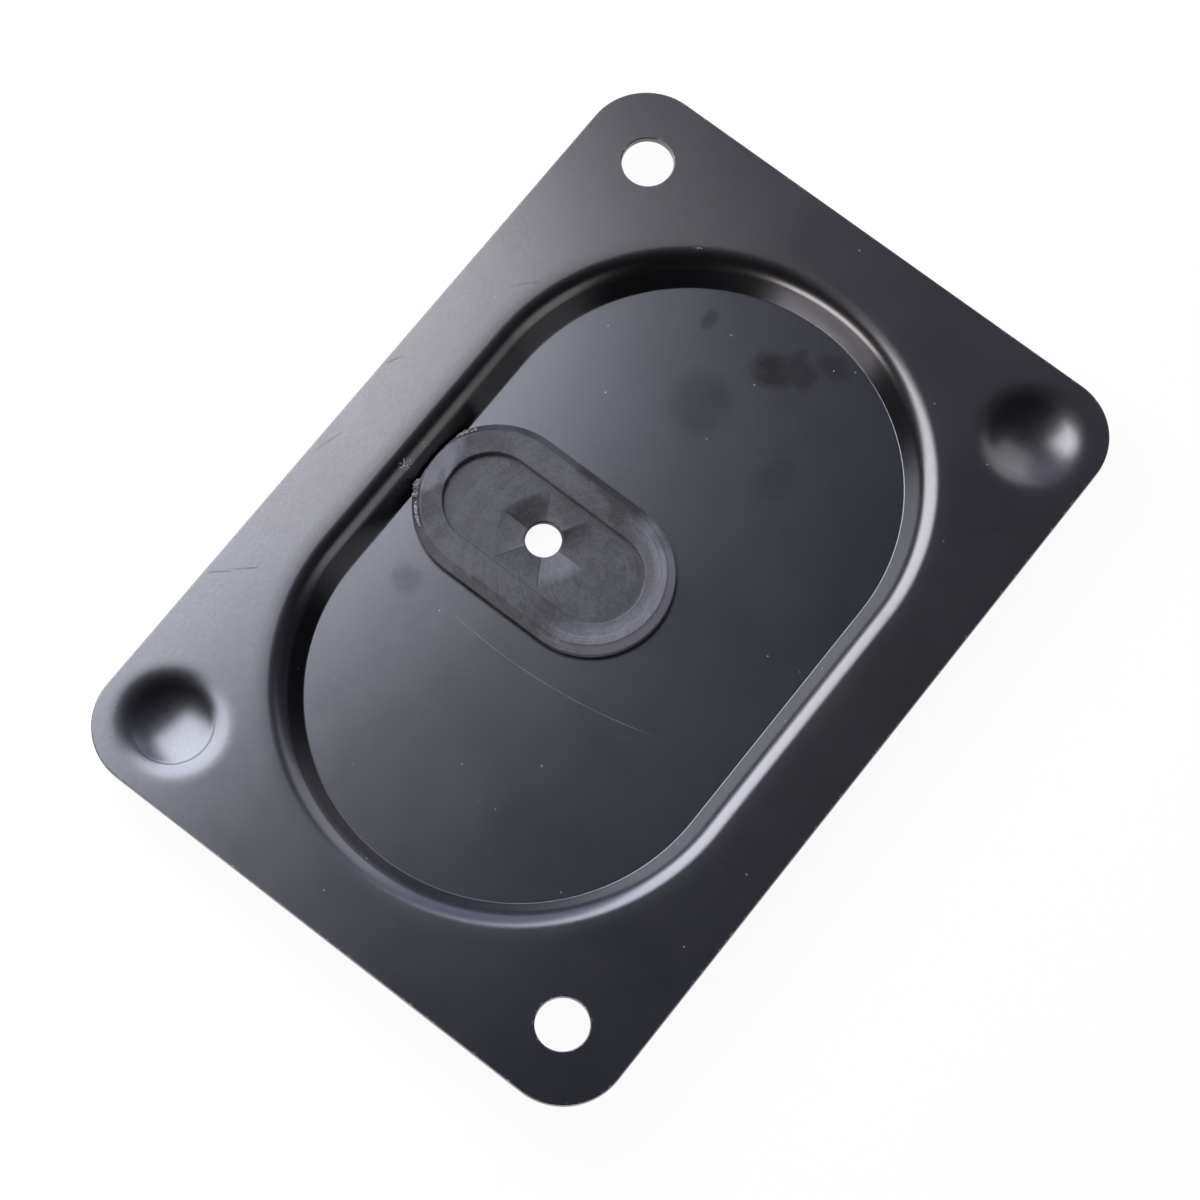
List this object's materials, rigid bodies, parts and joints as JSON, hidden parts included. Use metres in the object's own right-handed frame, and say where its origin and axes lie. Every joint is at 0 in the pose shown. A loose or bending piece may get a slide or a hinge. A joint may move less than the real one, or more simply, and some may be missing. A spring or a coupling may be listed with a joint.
{
  "type": "clutch housing cover",
  "caption": "Pressed steel cover plate with an oval recess, dimpled corners, bolt holes on one diagonal and an oval rubber cable grommet in its recess floor.",
  "frame": {"origin": "below the middle of the plate's outline, on the plane that the grommet's lower lip rests on", "axes": "+X across the short side, +Y along the long side, +Z out of the open side of the recess"},
  "size_m": [0.108, 0.1546, 0.0091],
  "materials": {
    "black_paint": "satin black paint",
    "black_rubber": "moulded, dull sheen"
  },
  "bodies": {
    "root": {"cover_plate": "black_paint", "rubber_grommet": "black_rubber"}
  },
  "joints": []
}
